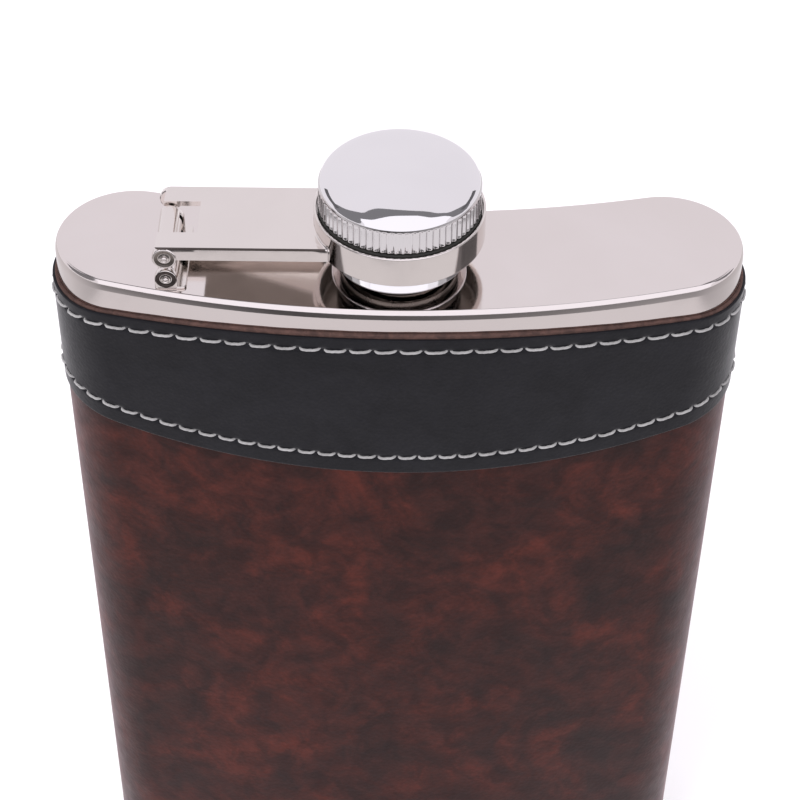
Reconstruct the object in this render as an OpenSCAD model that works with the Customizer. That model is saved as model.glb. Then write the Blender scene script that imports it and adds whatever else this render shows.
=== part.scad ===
// Hip flask: a curved steel body in a leather wrap, with a captive screw cap on a double hinge.
// Millimetres, +Z up. The origin is on the rest face, below the axis of the neck.
// The convex front faces -Y, the hollow back faces +Y, and the hinge is on the -X side.

/* [Body] */
// Width of the steel body
body_w = 94; // [88:0.5:100]
// Thickness of the steel body at its middle
body_t = 21.8; // [20:0.1:24]
// Height of the steel body, flat to flat
body_h = 132; // [110:1:150]
// Radius of the convex front
front_r = 142.5; // [138:0.5:148]
// Radius of the hollow back
back_r = 157.8; // [152:0.1:166]
// Width of the rounded edge between a plate's flat and its side
edge_w = 0.6; // [0.4:0.1:1]
// Height of the rounded edge between a plate's flat and its side
edge_h = 1.5; // [1:0.1:2]
// Sheet thickness of the body
sheet = 0.6; // [0.5:0.05:0.7]
// Bare steel left above and below the leather
steel_band = 4.2; // [3:0.1:6]

/* [Leather] */
// Thickness of the wrap
wrap_t = 0.4; // [0.3:0.05:0.8]
// Thickness of the band sewn over the wrap
band_t = 0.35; // [0.3:0.05:0.6]
// Height of the band at its middle, front and back
band_h = 24.4; // [20:0.1:30]
// Radius of the dip in the band's lower edge
dip_r = 200; // [180:5:300]
// Radius of the sewing thread
thread_r = 0.2; // [0.15:0.01:0.3]
// Distance between stitches in the upper row
upper_pitch = 3.36; // [3:0.02:4]
// Distance between stitches in the lower row
lower_pitch = 2.83; // [2.6:0.01:3.5]

/* [Neck] */
// Radius of the pouring bore
neck_bore_r = 5.8; // [5.2:0.1:5.9]
// Height of the neck above the top plate
neck_h = 7.5; // [7:0.1:7.6]
// Distance from thread to thread
thread_pitch = 1.5; // [1.4:0.1:1.6]

/* [Cap] */
// Radius of the knurled head
head_r = 10.8; // [10.4:0.1:10.9]
// Height of the knurled side of the head
knurl_h = 3.5; // [3:0.1:4]
// Number of knurl ridges round the head
knurl_n = 72; // [60:1:80]
// Width of the rounded shoulder above the knurl
shoulder_w = 3.5; // [2.6:0.1:4]
// Height of the rounded shoulder above the knurl
shoulder_h = 2; // [1.6:0.1:2.2]
// Rise of the dome above its shoulder
dome_h = 0.5; // [0.4:0.1:0.8]

/* [Arm] */
// Outer radius of the arm's collar
collar_r = 11.4; // [11.3:0.1:11.8]
// Distance from the cap's axis to the hinge pins
arm_l = 30.8; // [28:0.1:31]
// Width of the arm
arm_w = 13.3; // [13:0.1:14]
// Sheet thickness of the arm
arm_t = 0.8; // [0.7:0.05:0.8]
// Length of the slot in the arm's end, past the pins
slot_l = 4.2; // [4:0.1:6]

/* [Hinge] */
// Height of the lower pin above the top plate
lower_pin_z = 1.75; // [1.75:0.05:1.8]
// Height of the upper pin above the top plate
upper_pin_z = 5.25; // [5.2:0.05:5.3]
// Radius of both pins
pin_r = 0.6; // [0.5:0.05:0.7]
// Running clearance between a pin and the link
pin_gap = 0.05; // [0.03:0.01:0.08]

/* [Hidden] */
$fn = 96;
ARC_FN = 360;
EPS = 0.01;
// How far an end circle stands past the arcs it touches, so that they cross cleanly
JOIN = 0.004;
// Steps along each half arc, round each end, and over the rounded corner of a pan
ARC_STEPS = 10;
END_STEPS = 24;
CORNER_STEPS = 6;

// The outline: a front arc and a back arc, joined at each end by a circle that touches both
// and reaches the full width. end_r solves the three touching conditions.
front_c = front_r - body_t / 2;
back_c = back_r + body_t / 2;
end_y_slope = (front_r + back_r) / (front_c - back_c);
end_y_base = (front_c ^ 2 - back_c ^ 2 - front_r ^ 2 + back_r ^ 2) / (2 * (front_c - back_c));
end_lift = end_y_base - front_c;
half_b = end_lift * end_y_slope - body_w / 2 + front_r;
end_c = (body_w / 2) ^ 2 + end_lift ^ 2 - front_r ^ 2;
touch_r = (-half_b + sqrt(half_b ^ 2 - end_y_slope ^ 2 * end_c)) / end_y_slope ^ 2;
end_x = body_w / 2 - touch_r;
end_y = end_y_base + end_y_slope * touch_r;
end_r = touch_r + JOIN;
front_span = atan2(end_x, front_c - end_y);
back_span = atan2(end_x, back_c - end_y);
end_span = 180 - front_span + back_span;

// Levels of the leather, and of the plates' sides behind it
wrap_z0 = steel_band;
wrap_z1 = body_h - steel_band;
plate_side = steel_band + 1;
band_z1 = wrap_z1 - 0.4;
band_z0 = band_z1 - band_h;
skin_gap = 0.03;
band_in = wrap_t + skin_gap;
band_out = band_in + band_t;
stitch_out = band_out + thread_r + 0.02;
upper_row_z = band_z1 - 1.95;
lower_row_inset = 3;
upper_stitch_l = upper_pitch - 0.6;
lower_stitch_l = lower_pitch - 0.55;

// The neck's thread is drawn as level rings, and the cap's ridges clear them while it swings.
neck_r = neck_bore_r + sheet;
neck_thread_r = neck_r + 0.45;
neck_foot_r = neck_r + 0.6;
neck_foot_h = 0.5;
neck_rings = 4;
first_ring_z = 1.6;

// Levels of the cap and the collar, above the top plate
skirt_z = 1;
collar_z0 = 4.9;
collar_z1 = 9.4;
collar_floor_z = 8.2;
collar_floor_t = 0.7;
head_z = 9.75;
gasket_z = neck_h + 0.05;
gasket_h = 1.15;
flange_h = 0.55;

// Radii of the cap's inner pieces
skirt_r = 7.9;
skirt_in = 7.45;
skirt_mouth_r = 7.6;
skirt_mouth_h = 2;
ring_z = 1.6;
ring_r = 8.5;
ring_h = 6.4;
ring_foot_r = 9.2;
ring_foot_h = 2;
ridge_r = 7.25;
ridge_z = [4.9, 6.4];
floor_hole_r = 8.2;
collar_t = 0.7;
rim_r = collar_r - 0.4;
head_t = 0.6;
knurl_r = 0.34;

// The arm is a channel with its flanges down
arm_z1 = 7;
arm_z0 = 5;
arm_end = 1.2;
arm_half = arm_w / 2;
flange_in = arm_half - arm_t;
slot_half = 3.28;
lug_r = 1.6;
ear_r = 1.5;
pin_half = arm_half + 0.35;
seat_r = pin_r + 0.01;
turn_r = pin_r + pin_gap;
link_half = 3;
link_wide = flange_in - 0.35;
link_top_r = 1.3;
link_low_r = 1.2;
link_web_t = 1.6;
foot_t = 0.4;

// Colours
STEEL = [0.80, 0.77, 0.76];
CHROME = [0.85, 0.85, 0.87];
BROWN = [0.36, 0.13, 0.08];
BLACK = [0.09, 0.09, 0.10];
THREAD = [0.86, 0.84, 0.78];
RUBBER = [0.12, 0.11, 0.11];

// ---- The outline -------------------------------------------------------------------------

// A point along an arc about [0, y] at an angle from straight down
function arc_point(y, r, a) = [r * sin(a), y - r * cos(a)];

// The part of the outline between its end circles, with room to grow
waist_near = arc_point(front_c, front_r + 5, front_span);
waist_far = arc_point(back_c, back_r - 5, back_span);
waist = [waist_near, [end_x, end_y], waist_far,
    [-waist_far[0], waist_far[1]], [-end_x, end_y], [-waist_near[0], waist_near[1]],
    [0, -2 * body_t]];

// The outline, moved outwards by grow
module outline(grow = 0) {
    intersection() {
        difference() {
            translate([0, front_c]) circle(r = front_r + grow, $fn = ARC_FN);
            translate([0, back_c]) circle(r = back_r - grow, $fn = ARC_FN);
        }
        polygon(waist);
    }
    for (side = [-1, 1])
        translate([side * end_x, end_y]) circle(r = end_r + grow);
}

// A wall that follows the outline, between two offsets
module outline_wall(inner, outer, h) {
    linear_extrude(h)
        difference() {
            outline(outer);
            outline(inner);
        }
}

// Lengths of the outline's four arcs at an offset, from the middle of the front
function front_len(g) = (front_r + g) * front_span * PI / 180;
function end_len(g) = (end_r + g) * end_span * PI / 180;
function back_len(g) = (back_r - g) * back_span * PI / 180;
function round_len(g) = 2 * (front_len(g) + end_len(g) + back_len(g));

// [x, y, heading] at a distance s along the right half of the outline, from the front's middle
function half_way(s, g) =
    s < front_len(g)
        ? let (a = s / (front_r + g) * 180 / PI)
            concat(arc_point(front_c, front_r + g, a), a)
    : s < front_len(g) + end_len(g)
        ? let (a = front_span + (s - front_len(g)) / (end_r + g) * 180 / PI)
            concat([end_x, end_y] + arc_point(0, end_r + g, a), a)
    : let (a = (s - front_len(g) - end_len(g)) / (back_r - g) * 180 / PI)
        concat(arc_point(back_c, back_r - g, back_span - a), 180 + back_span - a);

// The same all the way round
function way(s, g) =
    s <= round_len(g) / 2
        ? half_way(s, g)
    : let (p = half_way(round_len(g) - s, g)) [-p[0], p[1], -p[2]];

// Height of a row that follows the dip in the band, above its lowest point, and its slope
function dip_rise(x) = dip_r - sqrt(dip_r ^ 2 - x ^ 2);
function dip_slope(x) = asin(x / dip_r);

// ---- Body --------------------------------------------------------------------------------

// Stations round the outline, each [x, y, heading], starting at the front's middle
half_stops = concat(
    [for (i = [0 : ARC_STEPS - 1]) front_len(0) * i / ARC_STEPS],
    [for (i = [0 : END_STEPS - 1]) front_len(0) + end_len(0) * i / END_STEPS],
    [for (i = [0 : ARC_STEPS - 1]) front_len(0) + end_len(0) + back_len(0) * i / ARC_STEPS]);
all_stops = concat(half_stops, [round_len(0) / 2],
    [for (i = [len(half_stops) - 1 : -1 : 1]) round_len(0) - half_stops[i]]);
stations = [for (s = all_stops) way(s, 0)];

// One closed ring of points, grown outwards by g, at a height z
function ring_points(g, z) = [for (p = stations) [p[0] + g * sin(p[2]), p[1] - g * cos(p[2]), z]];

// A pressed pan: a flat with a rounded corner, and a side that meets the body wall
module pan() {
    count = len(stations);
    section = concat(
        [[-sheet, plate_side - sheet], [-sheet, 0], [0, 0]],
        [for (i = [0 : CORNER_STEPS]) let (a = 90 * i / CORNER_STEPS)
            [edge_w * (cos(a) - 1), plate_side + edge_h * (sin(a) - 1)]]);
    last = len(section) - 1;
    polyhedron(
        points = [for (q = section) each ring_points(q[0], q[1])],
        faces = concat(
            [[for (i = [0 : count - 1]) i]],
            [for (k = [0 : last - 1], i = [0 : count - 1]) let (j = (i + 1) % count)
                [k * count + i, (k + 1) * count + i, (k + 1) * count + j, k * count + j]],
            [[for (i = [count - 1 : -1 : 0]) last * count + i]]));
}

module body_wall() {
    color(STEEL)
        translate([0, 0, plate_side])
            outline_wall(-sheet, 0, body_h - 2 * plate_side);
}

module top_plate() {
    color(STEEL)
        difference() {
            translate([0, 0, body_h - plate_side]) pan();
            translate([0, 0, body_h - 2 * sheet]) cylinder(r = neck_r, h = 3 * sheet);
        }
}

module bottom_plate() {
    color(STEEL)
        translate([0, 0, plate_side]) mirror([0, 0, 1]) pan();
}

module neck() {
    color(STEEL)
        translate([0, 0, body_h])
            rotate_extrude() {
                translate([neck_bore_r, -sheet]) square([neck_r - neck_bore_r, neck_h + sheet]);
                translate([neck_bore_r, 0]) square([neck_foot_r - neck_bore_r, neck_foot_h]);
                for (i = [0 : neck_rings - 1])
                    translate([neck_r, first_ring_z + i * thread_pitch]) thread_tooth(neck_thread_r - neck_r);
            }
}

// The section of one thread ring, pointing outwards by d
module thread_tooth(d) {
    polygon([[-EPS, -d], [d, -d / 3], [d, d / 3], [-EPS, d]]);
}

// ---- Leather -----------------------------------------------------------------------------

module leather_wrap() {
    color(BROWN)
        translate([0, 0, wrap_z0])
            outline_wall(skin_gap, wrap_t, wrap_z1 - wrap_z0);
}

module black_band() {
    reach = body_w * 0.6;
    step = reach / 16;
    color(BLACK)
        difference() {
            translate([0, 0, band_z0 - 1]) outline_wall(band_in, band_out, band_h + 1);
            translate([0, reach, band_z0])
                rotate([90, 0, 0])
                    linear_extrude(2 * reach)
                        polygon(concat(
                            [for (i = [-16 : 16]) [i * step, dip_rise(i * step)]],
                            [[reach, -2], [-reach, -2]]));
        }
}

// One stitch: a straight length of thread lying on the band
module stitch(at, z, tilt, l) {
    translate([at[0], at[1], z])
        rotate([0, -tilt, at[2]])
            rotate([0, 90, 0]) cylinder(r = thread_r, h = l, center = true, $fn = 16);
}

module upper_stitching() {
    n = round(round_len(stitch_out) / upper_pitch);
    color(THREAD)
        for (i = [0 : n - 1]) {
            at = way((i + 0.5) * round_len(stitch_out) / n, stitch_out);
            stitch(at, upper_row_z, 0, upper_stitch_l);
        }
}

module lower_stitching() {
    n = round(round_len(stitch_out) / lower_pitch);
    color(THREAD)
        for (i = [0 : n - 1]) {
            at = way((i + 0.5) * round_len(stitch_out) / n, stitch_out);
            rise = dip_rise(at[0]);
            stitch(at, band_z0 + lower_row_inset + rise, dip_slope(at[0]) * cos(at[2]), lower_stitch_l);
        }
}

// ---- Hinge -------------------------------------------------------------------------------

// A cylinder along Y at the hinge's X, between two Y values and at a height above the top plate
module hinge_rod(r, z, y0, y1) {
    translate([-arm_l, y1, body_h + z])
        rotate([90, 0, 0]) cylinder(r = r, h = y1 - y0, $fn = 48);
}

// A block from two corners, with heights above the top plate
module block(a, b) {
    translate([a[0], a[1], body_h + a[2]]) cube(b - a);
}

module hinge_bracket() {
    color(STEEL)
        difference() {
            union() {
                block([-arm_l - ear_r, -arm_half, 0], [-arm_l + ear_r + 1.1, arm_half, foot_t]);
                for (y = [-arm_half, flange_in]) {
                    block([-arm_l - ear_r, y, 0], [-arm_l + ear_r, y + arm_t, lower_pin_z]);
                    hinge_rod(ear_r, lower_pin_z, y, y + arm_t);
                }
            }
            hinge_rod(seat_r, lower_pin_z, -arm_w, arm_w);
        }
}

module lower_pin() {
    color(STEEL) hinge_rod(pin_r, lower_pin_z, -pin_half, pin_half);
}

module upper_pin() {
    color(STEEL) hinge_rod(pin_r, upper_pin_z, -pin_half, pin_half);
}

module hinge_link() {
    web = link_web_t / 2;
    color(STEEL)
        difference() {
            union() {
                block([-arm_l - web, -link_half, lower_pin_z], [-arm_l + web, link_half, upper_pin_z]);
                hinge_rod(link_top_r, upper_pin_z, -link_half, link_half);
                hinge_rod(link_low_r, lower_pin_z, -link_wide, link_wide);
            }
            hinge_rod(turn_r, upper_pin_z, -arm_w, arm_w);
            hinge_rod(turn_r, lower_pin_z, -arm_w, arm_w);
        }
}

// ---- Arm ---------------------------------------------------------------------------------

module cap_arm() {
    color(STEEL)
        difference() {
            union() {
                translate([0, 0, body_h + collar_z0]) cylinder(r = collar_r, h = collar_z1 - collar_z0);
                block([-arm_l - arm_end, -arm_half, arm_z1 - arm_t], [0, arm_half, arm_z1]);
                for (y = [-arm_half, flange_in]) {
                    block([-arm_l, y, arm_z0], [0, y + arm_t, arm_z1]);
                    hinge_rod(lug_r, upper_pin_z, y, y + arm_t);
                }
            }
            block([-arm_l - 2 * lug_r, -slot_half, 0], [-arm_l + slot_l, slot_half, arm_z1 + 1]);
            hinge_rod(seat_r, upper_pin_z, -arm_w, arm_w);
            translate([0, 0, body_h]) cylinder(r = collar_r - collar_t, h = collar_floor_z);
            translate([0, 0, body_h]) cylinder(r = floor_hole_r, h = collar_z1 + 1);
            translate([0, 0, body_h + collar_floor_z + collar_floor_t]) cylinder(r = rim_r, h = 2);
        }
}

module swivel_washer() {
    z = collar_floor_z + collar_floor_t + 0.02;
    color(RUBBER)
        translate([0, 0, body_h + z])
            difference() {
                cylinder(r = rim_r - 0.1, h = head_z - 0.1 - z);
                translate([0, 0, -1]) cylinder(r = skirt_r + 0.1, h = 3);
            }
}

// ---- Cap ---------------------------------------------------------------------------------

// Half the section of the head's outside, less an inset all round
module head_section(inset) {
    r = head_r - inset;
    w = shoulder_w - inset;
    h = shoulder_h - inset;
    z1 = head_z + knurl_h + h;
    // A long arc that starts at the shoulder's top and rises by dome_h at the axis
    crown = head_r - shoulder_w;
    dome_r = (crown ^ 2 + dome_h ^ 2) / (2 * dome_h);
    translate([0, head_z]) square([r, knurl_h]);
    translate([0, head_z]) square([crown, z1 - head_z]);
    translate([crown, head_z + knurl_h]) scale([w / h, 1]) circle(r = h, $fn = 64);
    intersection() {
        translate([0, z1 + dome_h - dome_r]) circle(r = dome_r, $fn = ARC_FN);
        translate([0, head_z]) square([crown, knurl_h * 3]);
    }
}

module cap_head() {
    color(CHROME)
        translate([0, 0, body_h])
            difference() {
                rotate_extrude() head_section(0);
                rotate_extrude() head_section(head_t);
                translate([0, 0, head_z - 1]) cylinder(r = head_r - head_t, h = 1 + knurl_h);
                for (i = [0 : knurl_n - 1])
                    rotate([0, 0, i * 360 / knurl_n])
                        translate([head_r + knurl_r * 0.4, 0, head_z - 1])
                            cylinder(r = knurl_r, h = 1 + knurl_h - 0.3, $fn = 16);
            }
}

module cap_skirt() {
    top = gasket_z + gasket_h + 0.05;
    color(CHROME)
        translate([0, 0, body_h])
            difference() {
                union() {
                    translate([0, 0, skirt_z]) cylinder(r = skirt_r, h = head_z + flange_h - skirt_z);
                    translate([0, 0, head_z]) cylinder(r = head_r - head_t - 0.02, h = flange_h);
                }
                difference() {
                    translate([0, 0, skirt_z - 1]) cylinder(r = skirt_in, h = top - skirt_z + 1);
                    for (z = ridge_z)
                        translate([0, 0, z])
                            rotate_extrude()
                                translate([skirt_in, 0]) rotate(180) thread_tooth(skirt_in - ridge_r);
                }
                translate([0, 0, skirt_z - 1]) cylinder(r = skirt_mouth_r, h = 1 + skirt_mouth_h);
            }
}

module retaining_ring() {
    color(CHROME)
        translate([0, 0, body_h + ring_z])
            difference() {
                union() {
                    cylinder(r = ring_r, h = ring_h);
                    cylinder(r1 = ring_foot_r, r2 = ring_r, h = ring_foot_h);
                }
                translate([0, 0, -1]) cylinder(r = skirt_r + 0.02, h = ring_h + 2);
            }
}

module cap_gasket() {
    color(RUBBER)
        translate([0, 0, body_h + gasket_z]) cylinder(r = skirt_in - 0.15, h = gasket_h);
}

body_wall();
top_plate();
bottom_plate();
neck();
leather_wrap();
black_band();
upper_stitching();
lower_stitching();
hinge_bracket();
lower_pin();
hinge_link();
upper_pin();
cap_arm();
swivel_washer();
cap_head();
cap_skirt();
retaining_ring();
cap_gasket();
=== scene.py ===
"""Hip flask: a curved steel body in a leather wrap, with a captive screw cap on a double hinge.

The shapes are worked out in millimetres, with heights from the rest face, and stored in metres.
"""
import math

import bmesh
import bpy
import numpy as np
from mathutils import Matrix, Vector


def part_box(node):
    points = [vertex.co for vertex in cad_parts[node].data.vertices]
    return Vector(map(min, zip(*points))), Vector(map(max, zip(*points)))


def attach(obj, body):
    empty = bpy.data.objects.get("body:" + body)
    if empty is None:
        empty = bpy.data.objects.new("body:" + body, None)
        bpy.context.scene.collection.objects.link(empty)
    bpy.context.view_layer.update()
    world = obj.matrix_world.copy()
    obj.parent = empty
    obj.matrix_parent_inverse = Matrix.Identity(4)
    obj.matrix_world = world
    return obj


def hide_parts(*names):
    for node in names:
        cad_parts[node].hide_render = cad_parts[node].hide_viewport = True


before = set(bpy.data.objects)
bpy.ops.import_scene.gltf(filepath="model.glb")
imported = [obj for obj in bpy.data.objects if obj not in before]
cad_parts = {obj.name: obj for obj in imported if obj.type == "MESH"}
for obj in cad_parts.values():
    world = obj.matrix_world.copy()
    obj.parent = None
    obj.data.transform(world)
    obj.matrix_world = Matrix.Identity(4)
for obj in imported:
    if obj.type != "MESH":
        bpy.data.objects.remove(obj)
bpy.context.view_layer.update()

rng = np.random.default_rng(7)
PI = math.pi
MM = 0.001


def low(node):
    """Lowest corner of a node's box, in millimetres."""
    return np.array(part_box(node)[0]) / MM


def high(node):
    """Highest corner of a node's box, in millimetres."""
    return np.array(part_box(node)[1]) / MM


# ---- Driving dimensions, in millimetres --------------------------------------------------

TOP = high("top_plate")[2]
BODY_W = round(2 * high("top_plate")[0], 1)
BODY_T = 21.8
FRONT_R = 142.5
BACK_R = 157.8
EDGE_W, EDGE_H = 0.6, 1.5
SHEET = 0.6
PLATE_SIDE = TOP - low("top_plate")[2]

WRAP_Z0, WRAP_Z1 = low("leather_wrap")[2], high("leather_wrap")[2]
WRAP_IN, WRAP_OUT = 0.03, round(high("leather_wrap")[0] - BODY_W / 2, 2)
BAND_Z1 = high("black_band")[2]
BAND_Z0 = low("black_band")[2]
BAND_IN = WRAP_OUT + 0.03
BAND_OUT = round(high("black_band")[0] - BODY_W / 2, 2)
DIP_R = 200.0
THREAD_R = 0.2
UPPER_PITCH, LOWER_PITCH = 3.36, 2.83
UPPER_ROW = BAND_Z1 - 1.95
LOWER_INSET = 3.0
ROW_OUT = BAND_OUT + THREAD_R + 0.02
UPPER_L, LOWER_L = UPPER_PITCH - 0.6, LOWER_PITCH - 0.55
# Rise at the middle and fall at 39 mm from it, for edges and rows that arch
WRAP_ARCH, BAND_ARCH, ROW_ARCH = (0.6, 1.15), (0.36, 0.87), (0.28, 0.75)

PIN_X = -30.8
LOW_PIN_Z = TOP + 1.75
HIGH_PIN_Z = TOP + 5.25
PIN_R = 0.6
ARM_HALF = 6.65
ARM_T = 0.8
ARM_Z0, ARM_Z1 = TOP + 5.0, TOP + 7.0
SLOT_HALF = 3.28
SLOT_X = PIN_X + 4.2
LUG_R, EAR_R = 1.6, 1.5
BEND_R = 0.25
COLLAR_R = 11.4
COLLAR_T = 0.7
COLLAR_Z0, COLLAR_Z1 = TOP + 4.9, TOP + 9.4
FLOOR_Z0, FLOOR_Z1 = TOP + 8.2, TOP + 8.9
FLOOR_HOLE_R = 8.2

NECK_H = 7.5
NECK_BORE_R, NECK_R, NECK_THREAD_R, NECK_FOOT_R = 5.8, 6.4, 6.85, 7.0
THREAD_PITCH = 1.5
SKIRT_Z0 = TOP + 1.0
SKIRT_BORE_R, SKIRT_MOUTH_R, SKIRT_R = 7.45, 7.6, 7.9
RING_Z0, RING_Z1 = low("retaining_ring")[2], high("retaining_ring")[2]
RING_R, RING_FOOT_R, RING_FOOT_H = 8.5, 9.2, 2.0

HEAD_R = 10.8
HEAD_Z = low("cap_head")[2]
KNURL_H = 3.5
KNURL_N = 72
KNURL_DEPTH = 0.24
SHOULDER_W, SHOULDER_H = 3.5, 2.0
DOME_H = 0.5


# ---- The outline of the body -------------------------------------------------------------

FRONT_C = FRONT_R - BODY_T / 2
BACK_C = BACK_R + BODY_T / 2
END_SLOPE = (FRONT_R + BACK_R) / (FRONT_C - BACK_C)
END_BASE = (FRONT_C**2 - BACK_C**2 - FRONT_R**2 + BACK_R**2) / (2 * (FRONT_C - BACK_C))
END_LIFT = END_BASE - FRONT_C
HALF_B = END_LIFT * END_SLOPE - BODY_W / 2 + FRONT_R
END_ROOT = HALF_B**2 - END_SLOPE**2 * ((BODY_W / 2) ** 2 + END_LIFT**2 - FRONT_R**2)
END_R = (-HALF_B + math.sqrt(END_ROOT)) / END_SLOPE**2
END_X = BODY_W / 2 - END_R
END_Y = END_BASE + END_SLOPE * END_R
FRONT_SPAN = math.atan2(END_X, FRONT_C - END_Y)
BACK_SPAN = math.atan2(END_X, BACK_C - END_Y)
END_SPAN = PI - FRONT_SPAN + BACK_SPAN


def knots(grow):
    """Distances round the outline at which its arcs change, from the front's middle."""
    front = (FRONT_R + grow) * FRONT_SPAN
    end = (END_R + grow) * END_SPAN
    back = 2 * (BACK_R - grow) * BACK_SPAN
    return np.cumsum([0, front, end, back, end, front])


def stations(s):
    """x, y and heading at distances s round the plain outline. The front faces -Y."""
    s = np.asarray(s, float)
    total = knots(0)[-1]
    half = np.where(s > total / 2, total - s, s)
    front, end = knots(0)[1:3]
    a = half / FRONT_R
    b = FRONT_SPAN + (half - front) / END_R
    c = BACK_SPAN - (half - end) / BACK_R
    x = np.where(half < front, FRONT_R * np.sin(a),
                 np.where(half < end, END_X + END_R * np.sin(b), BACK_R * np.sin(c)))
    y = np.where(half < front, FRONT_C - FRONT_R * np.cos(a),
                 np.where(half < end, END_Y - END_R * np.cos(b), BACK_C - BACK_R * np.cos(c)))
    heading = np.where(half < front, a, np.where(half < end, b, PI + c))
    side = np.where(s > total / 2, -1, 1)
    return x * side, y, heading * side


def around(s, grow, z):
    """Points at distances s round the outline, moved outwards by grow, at heights z."""
    x, y, heading = stations(s)
    px = x + grow * np.sin(heading)
    py = y - grow * np.cos(heading)
    return np.stack(np.broadcast_arrays(px, py, z), -1)


def even_stops(step, seam=False):
    """Distances round the outline, closer together where it turns, and at the seam."""
    marks = knots(0)
    stops = []
    for k in range(5):
        gap = step * (0.5 if k in (1, 3) else 1.0)
        n = max(2, round((marks[k + 1] - marks[k]) / gap))
        stops.append(np.linspace(marks[k], marks[k + 1], n, endpoint=False))
    stops = np.concatenate(stops)
    if seam:
        middle = marks[-1] / 2
        stops = stops[np.abs(stops - middle) > 1.3]
        stops = np.sort(np.concatenate([stops, middle + np.linspace(-1.2, 1.2, 25)]))
    return stops


def dip(x):
    """Rise of the band's lower edge above its lowest point."""
    return DIP_R - np.sqrt(DIP_R**2 - np.asarray(x) ** 2)


def arch(x, rise, fall):
    """How far a hand-laid edge stands above its level, highest at the middle."""
    return np.maximum(rise - fall * (np.asarray(x) / 39) ** 2, -0.75)


# ---- Mesh helpers ------------------------------------------------------------------------


def grid_faces(rows, cols, loop_rows=False, loop_cols=True):
    """Quads over a grid of points numbered row by row."""
    index = np.arange(rows * cols).reshape(rows, cols)
    if loop_rows:
        index = np.vstack([index, index[:1]])
    if loop_cols:
        index = np.hstack([index, index[:, :1]])
    quads = np.stack([index[:-1, :-1], index[:-1, 1:], index[1:, 1:], index[1:, :-1]], -1)
    return quads.reshape(-1, 4).tolist()


def turns(n):
    """Angles of n even steps round a circle."""
    return 2 * PI * np.arange(n) / n


def grid(rings):
    """A skin over rings of points, left open at both ends."""
    rings = np.asarray(rings)
    return rings.reshape(-1, 3), grid_faces(*rings.shape[:2])


def tube(rings):
    """A closed skin whose last ring joins its first."""
    rings = np.asarray(rings, float)
    rows, cols = rings.shape[:2]
    return rings.reshape(-1, 3), grid_faces(rows, cols, loop_rows=True)


def capped(rings):
    """A closed skin with a flat face over its first and last rings."""
    rings = np.asarray(rings, float)
    rows, cols = rings.shape[:2]
    last = (rows - 1) * cols
    caps = [list(range(cols))[::-1], list(range(last, last + cols))]
    return rings.reshape(-1, 3), grid_faces(rows, cols) + caps


def join(shells):
    """Several shells as one list of points and faces."""
    points, faces, base = [], [], 0
    for p, f in shells:
        points.append(p)
        faces += [[base + i for i in face] for face in f]
        base += len(p)
    return np.concatenate(points), faces


def rounded(corners, steps=5):
    """A closed section from (u, v, radius) corners, each rounded by its radius."""
    out = []
    count = len(corners)
    for i, (u, v, r) in enumerate(corners):
        p = np.array([u, v])
        if r <= 0:
            out.append(p)
            continue
        a = np.array(corners[i - 1][:2]) - p
        b = np.array(corners[(i + 1) % count][:2]) - p
        a, b = a / np.linalg.norm(a), b / np.linalg.norm(b)
        half = math.acos(np.clip(a @ b, -1, 1)) / 2
        middle = (a + b) / np.linalg.norm(a + b)
        centre = p + middle * r / math.sin(half)
        start = p + a * r / math.tan(half) - centre
        stop = p + b * r / math.tan(half) - centre
        a0 = math.atan2(start[1], start[0])
        turn = (math.atan2(stop[1], stop[0]) - a0 + PI) % (2 * PI) - PI
        for t in np.linspace(0, turn, steps + 1):
            out.append(centre + r * np.array([math.cos(a0 + t), math.sin(a0 + t)]))
    return np.array(out)


def circle(cx, cy, r, n=48, start=0.0, turn=2 * PI):
    """Points round a circle, or along an arc of it."""
    a = start + turn * np.arange(n) / (n if abs(turn) >= 2 * PI else n - 1)
    return np.stack([cx + r * np.cos(a), cy + r * np.sin(a)], -1)


def inset(poly, d):
    """A closed counterclockwise polygon moved inwards by d, with mitred corners."""
    before = poly - np.roll(poly, 1, 0)
    after = np.roll(poly, -1, 0) - poly
    n1 = np.stack([-before[:, 1], before[:, 0]], -1)
    n2 = np.stack([-after[:, 1], after[:, 0]], -1)
    n1 /= np.linalg.norm(n1, axis=1, keepdims=True)
    n2 /= np.linalg.norm(n2, axis=1, keepdims=True)
    share = 1 + np.sum(n1 * n2, 1, keepdims=True)
    return poly + d * (n1 + n2) / share


def slab(poly, w0, w1, r, upright=True, steps=4):
    """A plate with rounded edges: a polygon in X and Z spread along Y, or in X and Y along Z."""
    turn = np.linspace(0, PI / 2, steps + 1)
    rings = [(r * (1 - math.sin(t)), w0 + r * (1 - math.cos(t))) for t in turn]
    rings += [(r * (1 - math.sin(t)), w1 - r * (1 - math.cos(t))) for t in turn[::-1]]
    layers = []
    for d, w in rings:
        p = inset(poly, d)
        level = np.full(len(p), w)
        order = (p[:, 0], level, p[:, 1]) if upright else (p[:, 0], p[:, 1], level)
        layers.append(np.stack(order, -1))
    return capped(layers)


def ring_stack(r, z, a):
    """Rings of points at radii r and heights z, round the angles a. Radii may vary with a."""
    r = np.broadcast_to(np.reshape(r, (len(z), -1)), (len(z), len(a)))
    return np.stack([r * np.cos(a), r * np.sin(a), np.broadcast_to(np.reshape(z, (-1, 1)), r.shape)], -1)


def lathe(section, n=128, closed=True):
    """A section of (radius, height) points turned about the neck's axis."""
    rings = ring_stack(*np.transpose(section), turns(n))
    return tube(rings) if closed else grid(rings)


def rod(section, x, z, closed=False):
    """A section of (radius, y) points turned about an axis along Y."""
    points, faces = lathe(section, 48, closed)
    return np.stack([x + points[:, 0], points[:, 2], z + points[:, 1]], -1), faces


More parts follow.
